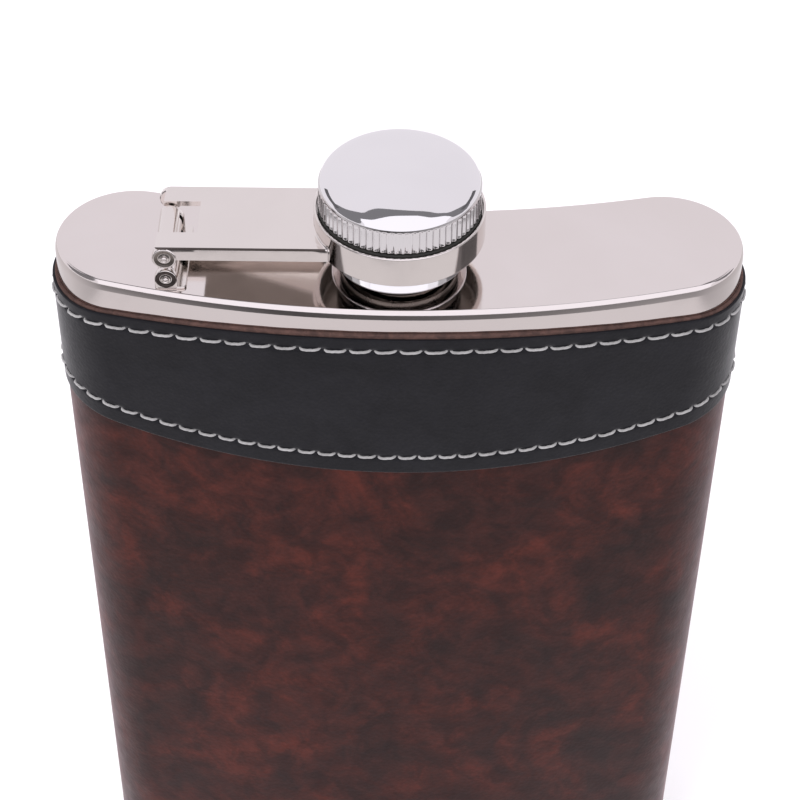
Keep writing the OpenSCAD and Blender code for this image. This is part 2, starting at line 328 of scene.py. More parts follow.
def thread_tooth(phase, width):
    """Height of a thread tooth, 0 to 1, from its phase in turns."""
    return np.clip(width - 5.0 * np.abs((phase + 0.5) % 1 - 0.5), 0, 1)


def run_out(z, start, stop, length=0.6):
    """1 along a thread, fading to 0 at its start and its stop."""
    return np.clip((z - start) / length, 0, 1) * np.clip((stop - z) / length, 0, 1)


def paint_faces(obj, material, test):
    """Gives a second material to the faces whose centre (x, y, z) in millimetres passes a test."""
    obj.data.materials.append(material)
    index = len(obj.data.materials) - 1
    for face in obj.data.polygons:
        if test(*(np.array(face.center) / MM)):
            face.material_index = index


def piece(name, shell, material, body, nodes, flats=False, weld=False):
    """Makes one piece from points in millimetres and faces, and gives it to a body."""
    points, faces = shell
    mesh = bpy.data.meshes.new(name)
    mesh.from_pydata((np.asarray(points) * MM).tolist(), [], faces)
    bm = bmesh.new()
    bm.from_mesh(mesh)
    if weld:
        bmesh.ops.remove_doubles(bm, verts=bm.verts, dist=2e-7)
        bmesh.ops.dissolve_degenerate(bm, edges=bm.edges, dist=1e-8)
    bmesh.ops.recalc_face_normals(bm, faces=bm.faces)
    bm.to_mesh(mesh)
    bm.free()
    mesh.shade_smooth()
    mesh.set_sharp_from_angle(angle=math.radians(42))
    mesh.materials.append(material)
    obj = bpy.data.objects.new(name, mesh)
    bpy.context.scene.collection.objects.link(obj)
    if flats:
        even = obj.modifiers.new("Flat faces stay flat", "WEIGHTED_NORMAL")
        even.keep_sharp = True
        even.weight = 80
    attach(obj, body)
    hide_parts(*nodes)
    return obj


# ---- Materials ---------------------------------------------------------------------------


class Paint:
    """A Principled material with short calls for its procedural nodes."""

    def __init__(self, name, roughness, metallic=0.0, **sockets):
        self.material = bpy.data.materials.new(name)
        self.material.use_nodes = True
        self.tree = self.material.node_tree
        self.shader = self.tree.nodes["Principled BSDF"]
        self.shader.inputs["Roughness"].default_value = roughness
        self.shader.inputs["Metallic"].default_value = metallic
        for key, value in sockets.items():
            self.shader.inputs[key.replace("_", " ")].default_value = value
        self.place = self.node("ShaderNodeTexCoord").outputs["Object"]

    def node(self, kind, **inputs):
        made = self.tree.nodes.new(kind)
        for key, value in inputs.items():
            socket = made.inputs[key.replace("_", " ")]
            if isinstance(value, bpy.types.NodeSocket):
                self.tree.links.new(value, socket)
            else:
                socket.default_value = value
        return made

    def stretch(self, scale, turn=(0, 0, 0)):
        made = self.node("ShaderNodeMapping", Vector=self.place, Rotation=turn)
        made.inputs["Scale"].default_value = scale
        return made.outputs["Vector"]

    def noise(self, scale, detail=4.0, rough=0.5, warp=0.0, place=None):
        made = self.node("ShaderNodeTexNoise", Vector=place or self.place, Scale=scale,
                         Detail=detail, Roughness=rough, Distortion=warp)
        return made.outputs["Fac"]

    def cells(self, scale):
        return self.node("ShaderNodeTexVoronoi", Vector=self.place, Scale=scale).outputs["Distance"]

    def ramp(self, value, *stops):
        made = self.node("ShaderNodeValToRGB", Fac=value)
        ramp = made.color_ramp
        while len(ramp.elements) < len(stops):
            ramp.elements.new(0.5)
        for element, (at, colour) in zip(ramp.elements, stops):
            element.position = at
            element.color = (*colour, 1)
        return made.outputs["Color"]

    def between(self, value, low_end, high_end, from_low=0.3, from_high=0.7):
        made = self.node("ShaderNodeMapRange", Value=value)
        for key, number in zip(("From Min", "From Max", "To Min", "To Max"),
                               (from_low, from_high, low_end, high_end)):
            made.inputs[key].default_value = number
        return made.outputs["Result"]

    def mix(self, factor, a, b, blend="MIX"):
        made = self.tree.nodes.new("ShaderNodeMix")
        made.data_type = "RGBA"
        made.blend_type = blend
        for socket, value in ((made.inputs[0], factor), (made.inputs[6], a), (made.inputs[7], b)):
            if isinstance(value, bpy.types.NodeSocket):
                self.tree.links.new(value, socket)
            else:
                socket.default_value = value if isinstance(value, float) else (*value, 1)
        return made.outputs[2]

    def colour(self, value):
        self.tree.links.new(value, self.shader.inputs["Base Color"])

    def roughness(self, value):
        self.tree.links.new(value, self.shader.inputs["Roughness"])

    def bumps(self, *layers):
        """Each layer is (height, strength, distance in millimetres)."""
        last = None
        for height, strength, distance in layers:
            made = self.node("ShaderNodeBump", Height=height, Strength=strength,
                             Distance=distance * MM)
            if last is not None:
                self.tree.links.new(last, made.inputs["Normal"])
            last = made.outputs["Normal"]
        self.tree.links.new(last, self.shader.inputs["Normal"])


def polished(name, light, dark, low_rough, high_rough, marks):
    """Polished metal: faint smears in its tint and gloss, and hair-fine polishing marks."""
    p = Paint(name, (low_rough + high_rough) / 2, 1.0)
    smears = p.noise(45, 3, 0.55, 0.4)
    p.colour(p.ramp(smears, (0.3, dark), (0.7, light)))
    p.roughness(p.between(p.noise(160, 5, 0.6, 0.3), low_rough, high_rough))
    hairs = p.noise(1, 4, 0.6, place=p.stretch((260, 5200, 5200)))
    cross = p.noise(1, 3, 0.6, place=p.stretch((3800, 300, 3800), (0, 0, 0.5)))
    p.bumps((p.noise(70, 2, 0.4), 0.25, 0.012), (hairs, marks, 0.002), (cross, marks * 0.6, 0.002))
    return p.material


STEEL = polished("Polished steel", (0.74, 0.685, 0.665), (0.71, 0.655, 0.63), 0.05, 0.11, 0.22)
HINGE_STEEL = polished("Pressed steel", (0.75, 0.70, 0.67), (0.71, 0.66, 0.63), 0.07, 0.14, 0.35)
# Near-black steel is painted shade: the dark line along the arm's front bend and the dark dishes of the
# bracket's ears.
NEAR_BLACK_SHADE_STEEL = polished("Steel painted near black as shade", (0.085, 0.07, 0.065), (0.055, 0.045, 0.04),
                       0.25, 0.4, 0.5)
# Dark steel is painted shade: inside the collar, on the neck's thread and the cap's skirt under the cap,
# and on the lugs' dishes.
DARK_SHADE_STEEL = polished("Steel painted dark as shade", (0.22, 0.195, 0.175), (0.16, 0.14, 0.125), 0.22, 0.36, 0.4)
CHROME = polished("Bright chrome", (0.80, 0.785, 0.79), (0.77, 0.755, 0.76), 0.025, 0.06, 0.12)


def underside():
    """The arm's hidden face: less polished, with painted shade on the hinge's side of a slanting line.
    """
    slant, offset, blur = math.atan(2.28), 4.6 * MM, 0.6 * MM
    p = Paint("Steel under the arm with painted shade", 0.14, 1.0)
    lean = p.node("ShaderNodeMapping", Vector=p.place, Rotation=(0, 0, -slant),
                  Location=(offset, 0, 0))
    split = p.node("ShaderNodeSeparateXYZ", Vector=lean.outputs["Vector"]).outputs["X"]
    away = p.between(split, 0.0, 1.0, -blur, blur)
    bare_steel = p.ramp(p.noise(45, 3, 0.55, 0.4), (0.3, (0.70, 0.66, 0.61)), (0.7, (0.74, 0.69, 0.65)))
    # Painted shade: darker steel on the hinge's side of the slanting line.
    painted_shade = p.ramp(p.noise(160, 4, 0.6, 0.4), (0.3, (0.27, 0.245, 0.22)), (0.7, (0.33, 0.30, 0.27)))
    p.colour(p.mix(away, painted_shade, bare_steel))
    p.roughness(p.between(p.noise(160, 5, 0.6, 0.3), 0.08, 0.18))
    p.bumps((p.noise(1, 4, 0.6, place=p.stretch((260, 5200, 5200))), 0.4, 0.002))
    return p.material


def brown_leather():
    """Waxed leather, marbled from red-brown to nearly black."""
    p = Paint("Marbled brown leather", 0.4, Specular_IOR_Level=0.16, Sheen_Weight=0.32)
    p.shader.inputs["Sheen Roughness"].default_value = 0.35
    p.shader.inputs["Sheen Tint"].default_value = (1.0, 0.76, 0.79, 1)
    cloud = p.noise(70, 5, 0.58, 0.9)
    blotch = p.noise(210, 6, 0.62, 0.6)
    speck = p.noise(1400, 4, 0.6)
    base = p.ramp(cloud, (0.36, (0.023, 0.0075, 0.006)), (0.50, (0.036, 0.0085, 0.006)),
                  (0.66, (0.068, 0.0125, 0.007)))
    spots = p.ramp(blotch, (0.40, (0.55, 0.55, 0.56)), (0.62, (1.18, 1.12, 1.1)))
    grain = p.ramp(speck, (0.35, (0.86, 0.86, 0.86)), (0.65, (1.1, 1.08, 1.06)))
    p.colour(p.mix(1.0, p.mix(1.0, base, spots, "MULTIPLY"), grain, "MULTIPLY"))
    p.roughness(p.between(p.noise(320, 4, 0.6), 0.34, 0.5))
    p.bumps((p.noise(260, 4, 0.6), 0.35, 0.05), (p.cells(1500), 0.3, 0.05),
            (p.noise(3600, 4, 0.6), 0.3, 0.02))
    return p.material


def black_leather():
    """Matt black leather with a fine pebbled grain and a few rubbed spots."""
    p = Paint("Black leather", 0.5, Specular_IOR_Level=0.2, Sheen_Weight=0.42)
    p.shader.inputs["Sheen Roughness"].default_value = 0.35
    wear = p.noise(120, 5, 0.6, 0.4)
    base = p.ramp(wear, (0.35, (0.0055, 0.0055, 0.0075)), (0.72, (0.0095, 0.0095, 0.0125)))
    speck = p.ramp(p.noise(2200, 4, 0.6), (0.3, (0.8, 0.8, 0.8)), (0.75, (1.25, 1.25, 1.25)))
    p.colour(p.mix(1.0, base, speck, "MULTIPLY"))
    p.roughness(p.between(p.noise(400, 4, 0.6), 0.46, 0.62))
    p.bumps((p.noise(300, 3, 0.5), 0.3, 0.04), (p.cells(1900), 0.4, 0.045),
            (p.noise(4200, 4, 0.6), 0.3, 0.02))
    return p.material


def raw_edge():
    """The cut edge of the wrap: reddish fibres, dyed unevenly."""
    p = Paint("Cut leather edge", 0.75, Specular_IOR_Level=0.3)
    fibres = p.noise(900, 6, 0.7, 0.5)
    p.colour(p.ramp(fibres, (0.3, (0.045, 0.026, 0.022)), (0.7, (0.135, 0.075, 0.062))))
    p.roughness(p.between(fibres, 0.65, 0.85))
    p.bumps((p.noise(1, 4, 0.6, place=p.stretch((900, 900, 5000))), 0.8, 0.06),
            (p.noise(3000, 5, 0.6), 0.5, 0.04))
    return p.material


def thread():
    """Waxed off-white thread with fine fibres."""
    p = Paint("Waxed thread", 0.55, Specular_IOR_Level=0.4, Sheen_Weight=0.25)
    p.shader.inputs["Sheen Roughness"].default_value = 0.5
    tone = p.noise(500, 4, 0.6)
    p.colour(p.ramp(tone, (0.3, (0.30, 0.295, 0.29)), (0.7, (0.44, 0.435, 0.43))))
    p.roughness(p.between(tone, 0.48, 0.66))
    p.bumps((p.noise(1, 4, 0.6, place=p.stretch((2500, 2500, 9000), (0, 0.6, 0))), 0.5, 0.03))
    return p.material


def rubber(name, dark, light):
    """Matt rubber or silicone, faintly mottled."""
    p = Paint(name, 0.6, Specular_IOR_Level=0.4)
    tone = p.noise(600, 4, 0.6)
    p.colour(p.ramp(tone, (0.3, dark), (0.7, light)))
    p.roughness(p.between(tone, 0.5, 0.7))
    p.bumps((p.noise(2600, 4, 0.6), 0.35, 0.02))
    return p.material


UNDERSIDE = underside()
BROWN = brown_leather()
BLACK = black_leather()
RAW = raw_edge()
THREAD = thread()
WASHER = rubber("Black rubber", (0.010, 0.010, 0.008), (0.024, 0.023, 0.019))
GASKET = rubber("Silicone", (0.52, 0.51, 0.47), (0.64, 0.63, 0.59))

# The wall has no piece of its own, so its CAD node shows
for material_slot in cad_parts["body_wall"].material_slots:
    material_slot.material = STEEL


# ---- Steel body --------------------------------------------------------------------------


def pan_rings(s):
    """Rings of a pressed pan, from its flat's rim over the rounded edge and back inside."""
    a = np.linspace(0, PI / 2, 17)
    outer = [(EDGE_W * (math.sin(t) - 1), TOP - EDGE_H * (1 - math.cos(t))) for t in a]
    inner = [(0.3 * (math.sin(t) - 1) - SHEET, TOP - SHEET - 0.6 * (1 - math.cos(t)))
             for t in a[::-2]]
    section = [(-EDGE_W - 1.0, TOP)] + outer + [(0, TOP - PLATE_SIDE), (-SHEET, TOP - PLATE_SIDE)]
    section += inner + [(-EDGE_W - 1.5, TOP - SHEET)]
    return [around(s, g, z) for g, z in section]


def top_plate():
    s = even_stops(0.6)
    x, y, _ = stations(s)
    hole = ring_stack([NECK_R, NECK_R], [TOP - SHEET, TOP], np.arctan2(y, x))
    rings = pan_rings(s)
    out = [hole[1]] + [hole[1] + (rings[0] - hole[1]) * k for k in (0.05, 0.3, 0.6, 0.9)]
    return tube(out + rings + [hole[0]])


def bottom_plate():
    s = even_stops(0.6)
    rings = [r * (1, 1, -1) + (0, 0, TOP) for r in pan_rings(s)]
    return capped(rings)


def neck():
    """The pouring neck: a welded foot, a screw thread and a rolled lip."""
    foot_h, lip_r = 0.5, 0.3
    a = turns(144)
    z = np.concatenate([[0.0, 0.12], np.linspace(0.2, foot_h, 4), np.arange(0.6, NECK_H - 0.25, 0.07)])
    weld = np.clip((z - 0.12) / 0.38, 0, 1)
    flare = NECK_FOOT_R - (NECK_FOOT_R - NECK_R) * np.sqrt(1 - (1 - weld) ** 2)
    base = np.where(z < foot_h, flare, NECK_R)
    tooth = thread_tooth((z[:, None] - 1.2) / THREAD_PITCH - a[None] / (2 * PI), 1.45)
    tooth = tooth * tooth * (3 - 2 * tooth)
    rise = (NECK_THREAD_R - NECK_R) * tooth * run_out(z, 0.9, NECK_H - 0.5)[:, None]
    outside = ring_stack(base[:, None] + rise, TOP + z, a)
    turn = np.linspace(0, PI, 9)
    lip = [(NECK_R - lip_r + lip_r * math.cos(t), TOP + NECK_H - lip_r + lip_r * math.sin(t))
           for t in turn]
    inside = [(NECK_BORE_R, lip[-1][1]), (NECK_BORE_R, TOP - SHEET), (NECK_R, TOP - SHEET),
              (NECK_R, TOP - 0.05)]
    return tube(np.concatenate([outside, ring_stack(*zip(*(lip[:-1] + inside)), a)]))


piece("flask_top_plate", top_plate(), STEEL, "flask", ["top_plate"], flats=True)
piece("flask_bottom_plate", bottom_plate(), STEEL, "flask", ["bottom_plate"], flats=True)
spout = piece("pouring_neck", neck(), STEEL, "flask", ["neck"])
# The neck's thread gets painted shade, in dark steel, where the cap covers it.
paint_faces(spout, DARK_SHADE_STEEL,
            lambda x, y, z: math.hypot(x, y) > NECK_R - 0.1 and 0.7 < z - TOP < NECK_H - 0.4)


# ---- Leather -----------------------------------------------------------------------------


def seam(s):
    """Depth of the closing seam at the middle of the back."""
    away = np.abs(np.asarray(s) - knots(0)[-1] / 2)
    return 0.26 * np.exp(-((away / 0.16) ** 2)) + 0.06 * np.exp(-((away / 0.6) ** 2))


def leather_wrap():
    """The wrap's rings and the numbers of the quads on its cut upper edge."""
    s = even_stops(0.5, seam=True)
    r, ripple = 0.12, 0.025 * np.sin(s * 0.9) * np.sin(s * 0.37 + 1)
    turn = np.linspace(0, PI / 2, 6)
    section = [(WRAP_IN, WRAP_Z0)]
    section += [(WRAP_OUT - r + r * math.sin(t), WRAP_Z0 + r - r * math.cos(t)) for t in turn]
    section += [(WRAP_OUT, z) for z in np.linspace(WRAP_Z0 + 2, WRAP_Z1 - 2, 30)]
    section += [(WRAP_OUT - r + r * math.cos(t), WRAP_Z1 - r + r * math.sin(t)) for t in turn]
    section += [(WRAP_IN + 0.08, WRAP_Z1), (WRAP_IN, WRAP_Z1)]
    groove = seam(s)
    top = arch(stations(s)[0], *WRAP_ARCH) + ripple
    rings = []
    for g, z in section:
        depth = groove * (g - WRAP_IN) / (WRAP_OUT - WRAP_IN)
        rings.append(around(s, g - depth, z + (top if z > WRAP_Z1 - 1.9 else 0)))
    cut = len(section) - 9
    return tube(rings), range(cut * len(s), (len(section) - 1) * len(s))


def stitch_centres(pitch):
    """Distances of stitch centres round the row, and the row's whole length."""
    whole = knots(ROW_OUT)[-1]
    n = round(whole / pitch)
    return (np.arange(n) + 0.5) * whole / n, whole


def plain(s, grow):
    """Distances round the outline that match distances s round it at an offset."""
    return np.interp(s, knots(grow), knots(0))


def dents(s, z, row, pitch, length):
    """How far the leather is drawn in beside a row of stitches, at points (s, z)."""
    centres, whole = stitch_centres(pitch)
    gap = whole / len(centres)
    along = np.interp(s, knots(0), knots(ROW_OUT))
    phase = (along / gap) % 1 - 0.5
    from_end = np.minimum(np.abs(np.abs(phase) * gap - length / 2), 1.0)
    across = z - row
    hole = 0.22 * np.exp(-(from_end**2 + across**2) / (2 * 0.22**2))
    trough = 0.06 * np.exp(-(across**2) / (2 * 0.34**2))
    return hole + trough


def upper_row(x):
    """Height of the upper row of stitches."""
    return UPPER_ROW + arch(x, *ROW_ARCH)


def lower_row(x):
    """Height of the lower row of stitches, which follows the dip."""
    return BAND_Z0 + LOWER_INSET + dip(x)


def black_band():
    s = even_stops(0.28, seam=True)
    r = 0.14
    turn = np.linspace(0, PI / 2, 5)
    top_rows = [(BAND_OUT - r + r * math.cos(t), r * math.sin(t) - r) for t in turn[::-1]]
    down = np.concatenate([np.linspace(0.4, 1.0, 4), np.linspace(1.2, 2.7, 16), np.linspace(3, 5, 5)])
    top_rows += [(BAND_OUT, -d) for d in down]
    up = np.concatenate([np.linspace(5.5, 4.0, 4), np.linspace(3.8, 2.2, 17), np.linspace(1.9, 0.4, 5)])
    low_rows = [(BAND_OUT, u) for u in up]
    low_rows += [(BAND_OUT - r + r * math.cos(t), r - r * math.sin(t)) for t in turn]
    x, _, heading = stations(s)
    rings = []

    def band_ring(g, base, offset, worked):
        px = x + g * np.sin(heading)
        z = offset + (BAND_Z1 + arch(x, *BAND_ARCH) if base == "top" else BAND_Z0 + dip(px))
        depth = seam(s) * 0.8
        if worked:
            depth = depth + dents(s, z, upper_row(x), UPPER_PITCH, UPPER_L)
            depth = depth + dents(s, z, lower_row(px), LOWER_PITCH, LOWER_L)
        return around(s, g - np.minimum(depth, g - BAND_IN - 0.06), z)

    for g, offset in top_rows:
        rings.append(band_ring(g, "top", offset, g > BAND_OUT - 0.01))
    first, last = rings[-1], band_ring(low_rows[0][0], "low", low_rows[0][1], True)
    for k in np.linspace(0, 1, 10)[1:-1]:
        rings.append(first + (last - first) * k)
    for g, offset in low_rows:
        rings.append(band_ring(g, "low", offset, g > BAND_OUT - 0.01))
    for base in ("low", "top"):
        px = x + BAND_IN * np.sin(heading)
        z = BAND_Z1 + arch(x, *BAND_ARCH) if base == "top" else BAND_Z0 + dip(px)
        rings.append(around(s, BAND_IN, z))
    return tube(rings)


def stitching(pitch, length, row):
    """A row of short twisted threads that dip into the leather at both ends."""
    centres, whole = stitch_centres(pitch)
    steps, sides = 19, 12
    t = np.linspace(-1, 1, steps)
    ring_a = turns(sides)
    shells = []
    for centre in centres:
        slant, sag, shift = rng.normal(0.08, 0.03), rng.normal(0.06, 0.025), rng.normal(0, 0.025)
        half = length / 2 * (1 + rng.normal(0, 0.02))
        s = (centre + t * half) % whole
        s0 = plain(s, ROW_OUT)
        bury = 0.12 - 0.42 * np.abs(t) ** 6
        x, _, heading = stations(s0)
        px = x + (BAND_OUT + bury) * np.sin(heading)
        z = row(px) + shift + slant * t + sag * (t * t - 0.4)
        path = around(s0, BAND_OUT + bury, z)
        along = np.gradient(path, axis=0)
        along /= np.linalg.norm(along, axis=1, keepdims=True)
        out = np.stack([np.sin(heading), -np.cos(heading), np.zeros(steps)], -1)
        side = np.cross(along, out)
        side /= np.linalg.norm(side, axis=1, keepdims=True)
        out = np.cross(side, along)
        twist = ring_a[None] * 3 + t[:, None] * half * 2 * PI * 3 / 2.4
        r = THREAD_R * (0.93 + 0.10 * np.cos(twist))
        rings = (path[:, None] + r[..., None] * (np.cos(ring_a)[None, :, None] * out[:, None]
                                                 + np.sin(ring_a)[None, :, None] * side[:, None]))
        shells.append(capped(rings))
    return join(shells)


wrap_shell, cut_faces = leather_wrap()
wrap = piece("leather_body_wrap", wrap_shell, BROWN, "flask", ["leather_wrap"])
wrap.data.materials.append(RAW)
for k in cut_faces:
    wrap.data.polygons[k].material_index = 1
piece("leather_top_band", black_band(), BLACK, "flask", ["black_band"])
piece("upper_row_of_stitches", stitching(UPPER_PITCH, UPPER_L, upper_row),
      THREAD, "flask", ["upper_stitching"])
piece("lower_row_of_stitches", stitching(LOWER_PITCH, LOWER_L, lower_row),
      THREAD, "flask", ["lower_stitching"])


# ---- Hinge -------------------------------------------------------------------------------


def pin(z):
    """A hinge pin with a small domed head at each end."""
    end = ARM_HALF + 0.46
    head = [(0.0, end - 0.08), (0.16, end - 0.07), (0.26, end), (0.36, end - 0.02), (0.44, end - 0.1),
            (0.46, ARM_HALF - 0.02), (PIN_R, ARM_HALF - 0.06)]
    section = head + [(r, -y) for r, y in head[::-1]]
    return rod(section, PIN_X, z)


def boss(z, r, side):
    """A disc round a pin, dished inside a raised rim."""
    inner, rim = ARM_HALF - ARM_T, ARM_HALF + 0.12
    dish_r, depth = 0.72, 0.12
    face = [(0.0, rim - 0.06), (0.62, rim - 0.06), (dish_r, rim - depth)]
    face += [(dish_r + (r - 1.0) * u, rim - depth * (1 - u * u)) for u in np.linspace(0.2, 1, 5)]
    face += [(r - 0.2, rim), (r - 0.08, rim - 0.04), (r, rim - 0.14)]
    section = face + [(r, inner + 0.12), (r - 0.12, inner), (0.0, inner)]
    return rod([(a, side * y) for a, y in section], PIN_X, z)


def in_dish(x, y, z, pin_z, r):
    """Whether a point lies on the dished face round a pin."""
    return abs(y) > ARM_HALF + 0.01 and 0.62 < math.hypot(x - PIN_X, z - pin_z) < r


def bracket():
    """A folded bracket: a thin foot on the plate and two round-topped ears."""
    foot_t, toe = 0.4, 1.1
    back, front = PIN_X - EAR_R, PIN_X + EAR_R
    arc = circle(PIN_X, LOW_PIN_Z, EAR_R, 29, 0, PI)
    ear = np.vstack([[[back, TOP + 0.01], [front, TOP + 0.01]], arc])
    foot = rounded([(back, -ARM_HALF, 0.4), (front + toe, -ARM_HALF, 0.6),
                    (front + toe, ARM_HALF, 0.6), (back, ARM_HALF, 0.4)], 6)
    shells = [slab(foot, TOP, TOP + foot_t, 0.12, upright=False)]
    for y in (-ARM_HALF, ARM_HALF - ARM_T):
        shells.append(slab(ear, y, y + ARM_T, 0.16))
        shells.append(boss(LOW_PIN_Z, EAR_R - 0.02, math.copysign(1, y)))
    return join(shells)


def link():
    """The link: sheet curled round the upper pin, a web, and a long lower barrel."""
    top_r, low_r, web, slit, half = 1.3, 1.2, 0.8, 0.13, 3.0
    spread = math.asin(web / top_r)
    start, stop = -PI / 2 + spread, 3 * PI / 2 - spread
    a = np.linspace(start, stop, 61)
    outer = np.stack([PIN_X + top_r * np.cos(a), HIGH_PIN_Z + top_r * np.sin(a)], -1)
    at = -0.35
    keep_low, keep_high = a < at - slit / 2, a > at + slit / 2
    mouth = [(PIN_X + rr * math.cos(b), HIGH_PIN_Z + rr * math.sin(b))
             for rr, b in ((top_r, at - slit / 2), (0.85, at - slit),
                           (0.85, at + slit), (top_r, at + slit / 2))]
    poly = np.vstack([[[PIN_X - web, LOW_PIN_Z], [PIN_X + web, LOW_PIN_Z]],
                      outer[keep_low], mouth, outer[keep_high]])
    barrel_end = ARM_HALF - ARM_T - 0.35
    section = rounded([(PIN_R + 0.06, -barrel_end, 0), (low_r, -barrel_end, 0.2),
                       (low_r, barrel_end, 0.2), (PIN_R + 0.06, barrel_end, 0)], 5)
    return join([slab(poly, -half, half, 0.1), rod(section, PIN_X, LOW_PIN_Z, closed=True)])


ears = piece("hinge_bracket_ears", bracket(), HINGE_STEEL, "flask", ["hinge_bracket"],
             flats=True)
# The ears' dishes get painted shade, in near-black steel.
paint_faces(ears, NEAR_BLACK_SHADE_STEEL, lambda x, y, z: in_dish(x, y, z, LOW_PIN_Z, EAR_R - 0.08))
piece("lower_hinge_pin", pin(LOW_PIN_Z), HINGE_STEEL, "flask", ["lower_pin"], weld=True)
piece("upper_hinge_pin", pin(HIGH_PIN_Z), HINGE_STEEL, "arm", ["upper_pin"], weld=True)
piece("hinge_link_knuckle", link(), HINGE_STEEL, "link", ["hinge_link"], flats=True)


# ---- Arm ---------------------------------------------------------------------------------


def arm_section():
    """Outer and inner (y, z) points over the arm's channel, matched, and the outer normals."""
    y0, z0 = ARM_HALF - BEND_R, ARM_Z1 - BEND_R
    side = [(ARM_HALF, z, 1.0, 0.0) for z in np.linspace(ARM_Z0, z0, 5)]
    arc = [(y0 + BEND_R * math.cos(t), z0 + BEND_R * math.sin(t), math.cos(t), math.sin(t))
           for t in np.linspace(0, PI / 2, 9)[1:]]
    flat = [(y, ARM_Z1, 0.0, 1.0) for y in (5.2, SLOT_HALF, 1.6, 0.0)]
    half = np.array(side + arc + flat)
    both = np.vstack([half, half[-2::-1] * (-1, 1, -1, 1)])
    outer, normal = both[:, :2], both[:, 2:]
    most = np.array([ARM_HALF - ARM_T, ARM_Z1 - ARM_T])
    inner = np.minimum(np.abs(outer), most) * np.sign(outer)
    return outer, inner, normal


def arm_stations(outer, blend):
    """X of each row of points along the channel, from the hinge's end to inside the collar."""
    y = np.abs(outer[:, 0])
    skew = 0.045
    # Rounded corners in plan where the web ends; the flanges stop at the pins
    corner = np.where(outer[:, 0] > 0, 1.1, 0.4)
    over = np.clip(y - (ARM_HALF - corner), 0, corner)
    left = PIN_X - 0.9 + skew * outer[:, 0] + corner - np.sqrt(np.maximum(corner**2 - over**2, 0.0))
    left = np.where(outer[:, 1] < ARM_Z1 - BEND_R + 0.01, PIN_X + 0.2, left)
    left = np.minimum(left, PIN_X + 0.75)
    right = -np.sqrt(COLLAR_R**2 - np.minimum(y, COLLAR_R) ** 2)
    near = [-2.2, -1.0, -blend, -0.28, -0.2, -0.14, -0.09, -0.05, -0.02, 0.0, 0.35]
    rows = [left + (SLOT_X - left) * k for k in np.linspace(0, 1, 6)]
    rows += [SLOT_X + (right + near[0] - SLOT_X) * k for k in np.linspace(0, 1, 7)[1:-1]]
    return rows + [right + d for d in near]


def channel_faces(rows, cols, is_open):
    """Quads over both skins of a sheet, and over its thickness wherever an open cell begins."""
    size = rows * cols
    faces = []
    for i in range(rows - 1):
        for j in range(cols - 1):
            if is_open(i, j):
                continue
            a, b, c, d = (i * cols + j, i * cols + j + 1, (i + 1) * cols + j + 1, (i + 1) * cols + j)
            faces.append([a, b, c, d])
            faces.append([size + d, size + c, size + b, size + a])
            for di, dj, p, q in ((-1, 0, a, b), (1, 0, c, d), (0, -1, d, a), (0, 1, b, c)):
                if is_open(i + di, j + dj):
                    faces.append([p, q, size + q, size + p])
    return faces


def arm_channel():
    """The arm: a channel with a slot for the link, blended into the collar."""
    blend = 0.35
    outer, inner, normal = arm_section()
    x_rows = arm_stations(outer, blend)
    rows, cols = len(x_rows), len(outer)
    y = np.abs(outer[:, 0])
    # The blend leaves the flange's lower edge alone
    level = np.clip((outer[:, 1] - ARM_Z0) / 0.5, 0.25, 1)
    share = np.where(np.abs(normal[:, 0]) > 1e-6, 0.55 * level, 1.0)
    top, under = [], []
    for k, x in enumerate(x_rows):
        gap = np.clip(np.hypot(x, y) - COLLAR_R, 0, None) if k < rows - 1 else np.zeros(cols)
        rise = np.where(gap < blend, blend - np.sqrt(np.maximum(blend**2 - (blend - gap) ** 2, 0)), 0)
        raised = outer + normal * (rise * share)[:, None]
        top.append(np.stack([x, raised[:, 0], raised[:, 1]], -1))
        under.append(np.stack([x, inner[:, 0], inner[:, 1]], -1))
    slot = np.flatnonzero(np.abs(y - SLOT_HALF) < 1e-6)

    def is_open(i, j):
        if not (0 <= i < rows - 1 and 0 <= j < cols - 1):
            return True
        return i < 5 and slot[0] <= j < slot[-1]

    return np.reshape([top, under], (-1, 3)), channel_faces(rows, cols, is_open)


def collar():
    """The round end of the arm: a wall, a rim and the floor that the cap turns on."""
    rim_r, inner_r = COLLAR_R - 0.4, COLLAR_R - COLLAR_T
    corners = [(COLLAR_R, COLLAR_Z0, 0.18), (COLLAR_R, COLLAR_Z1, 0.18), (rim_r, COLLAR_Z1, 0.12),
               (rim_r, FLOOR_Z1, 0.0), (FLOOR_HOLE_R, FLOOR_Z1, 0.1), (FLOOR_HOLE_R, FLOOR_Z0, 0.1),
               (inner_r, FLOOR_Z0, 0.3), (inner_r, COLLAR_Z0, 0.18)]
    return lathe(rounded(corners, 5), 160)


def lugs():
    """Round lugs that hold the upper pin, outside the flanges."""
    return join([boss(HIGH_PIN_Z, LUG_R + 0.02, side) for side in (-1, 1)])


def washer():
    hole_r, rim_r, z0 = 8.0, 10.9, FLOOR_Z1 + 0.02
    z1 = z0 + 0.73
    corners = [(hole_r, z0, 0.1), (rim_r, z0, 0.1), (rim_r, z1, 0.25), (hole_r, z1, 0.2)]
    return lathe(rounded(corners, 5), 128)


def on_bend(x, y, z):
    """Whether a point lies on the front bend of the arm, short of the collar."""
    in_bend = ARM_Z1 - BEND_R + 0.01 < z < ARM_Z1 - 0.004 and y < -(ARM_HALF - 0.3)
    return in_bend and math.hypot(x, y) > COLLAR_R + 0.36


def under_arm(x, y, z):
    """Whether a point lies on the arm's underside, short of the collar."""
    in_web = abs(z - (ARM_Z1 - ARM_T)) < 0.02 and abs(y) < ARM_HALF - ARM_T
    return in_web and math.hypot(x, y) > COLLAR_R + 0.36


